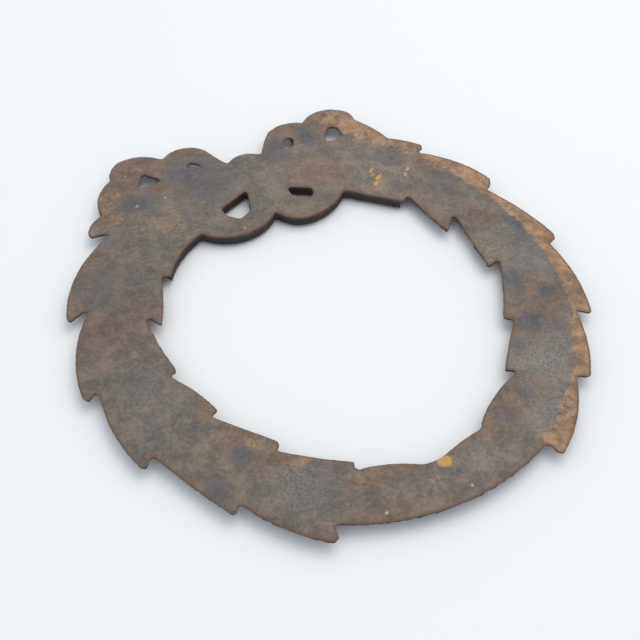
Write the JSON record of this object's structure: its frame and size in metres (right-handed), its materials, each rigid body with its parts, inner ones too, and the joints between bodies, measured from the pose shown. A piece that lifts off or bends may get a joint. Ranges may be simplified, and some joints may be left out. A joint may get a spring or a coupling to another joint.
{
  "type": "door knocker",
  "caption": "Flat cast wreath of pointed leaves closed by a ribbon bow, hinged behind the bow to a screwed plate so that a button at its bottom strikes a small plate on the door.",
  "frame": {"origin": "on the door's surface, midway between the two mounting screws", "axes": "+Z away from the door, +Y up the door towards the bow's loops, +X to the right as seen from the front; at rest the wreath lies against the door"},
  "size_m": [0.186, 0.1988, 0.006],
  "materials": {
    "rusty_casting": "old sand-cast iron, brown rust with a grey-brown worn middle and orange rims",
    "rusty_fittings": "dark rusty wrought iron"
  },
  "bodies": {
    "door_side": {"mounting_plate": "rusty_fittings", "strike_plate": "rusty_fittings", "hinge_pin_left": "rusty_fittings", "hinge_pin_right": "rusty_fittings"},
    "knocker": {"wreath": "rusty_casting", "striker_button": "rusty_fittings"}
  },
  "joints": [
    {"name": "knocker_swing", "type": "hinge", "parent": "door_side", "child": "knocker", "pos_m": [0, 0.0145, 0.0022], "axis": [-1, 0, 0], "range_deg": [0, 22]}
  ]
}
